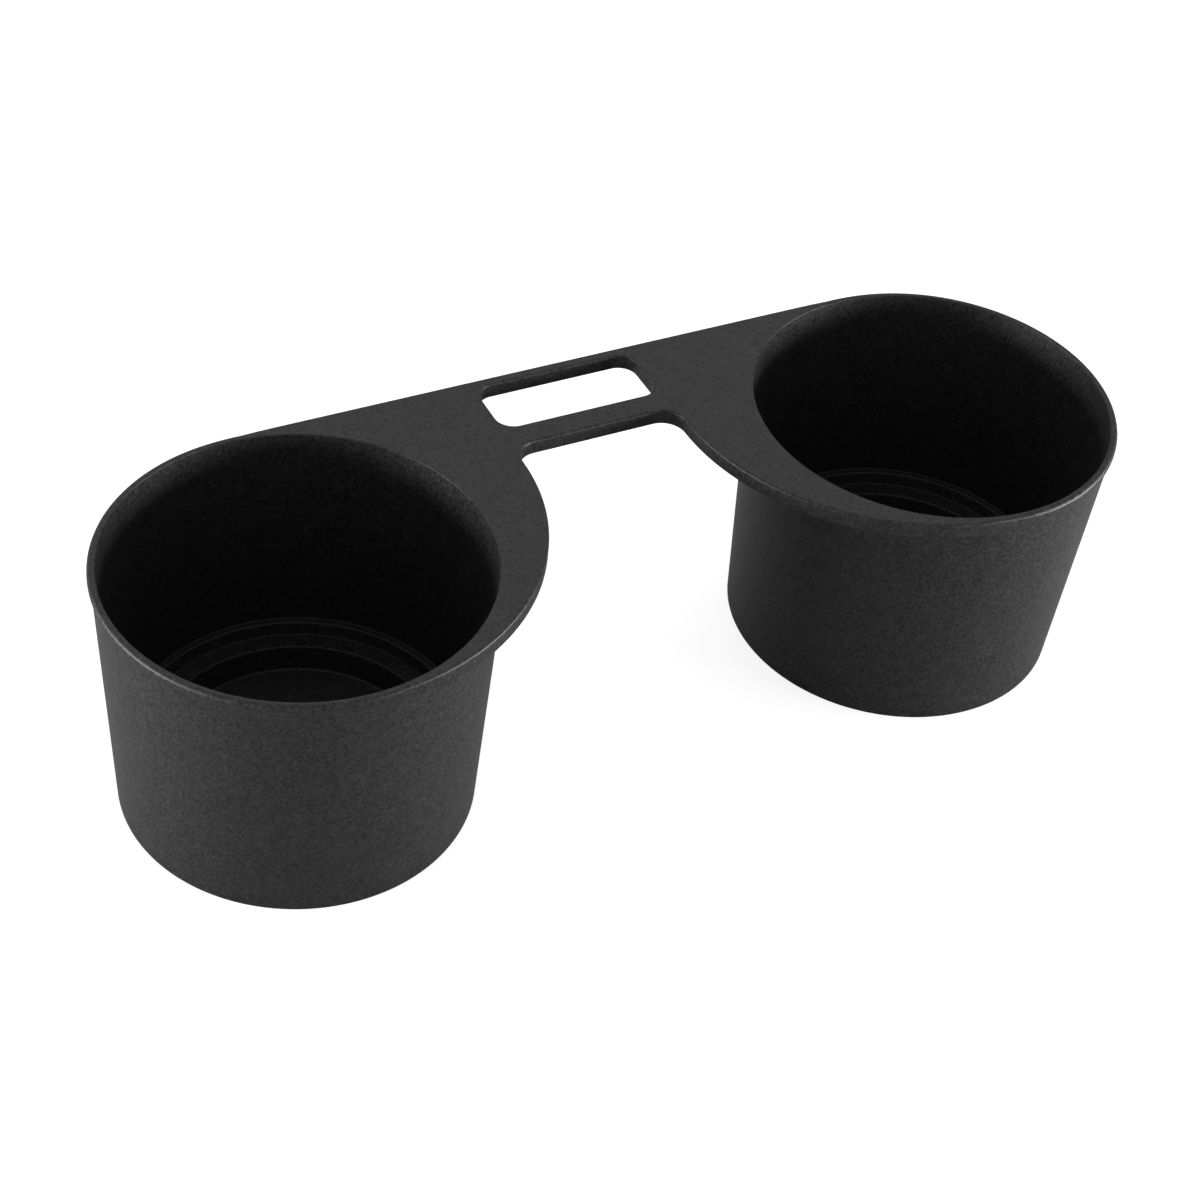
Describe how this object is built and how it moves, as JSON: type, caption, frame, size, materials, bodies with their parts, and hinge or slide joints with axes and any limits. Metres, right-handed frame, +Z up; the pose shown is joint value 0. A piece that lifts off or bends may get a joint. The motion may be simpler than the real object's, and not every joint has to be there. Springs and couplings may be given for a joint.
{
  "type": "car cup holder",
  "caption": "One-piece moulded cup holder: tapered cups with stepped floors, joined by a flat flange and a slotted bridge.",
  "frame": {"origin": "midway between the two cups' axes, on the plane that the cups stand on, at the centre of the bounding box", "axes": "+X along the length, from the left cup to the right cup as the picture shows them, +Y to the straight back edge of the flange, +Z up out of the cups' mouths"},
  "size_m": [0.2314, 0.0826, 0.061],
  "materials": {
    "black_plastic": "fine-grained matt black moulding"
  },
  "bodies": {
    "root": {"cup_holder": "black_plastic"}
  },
  "joints": []
}
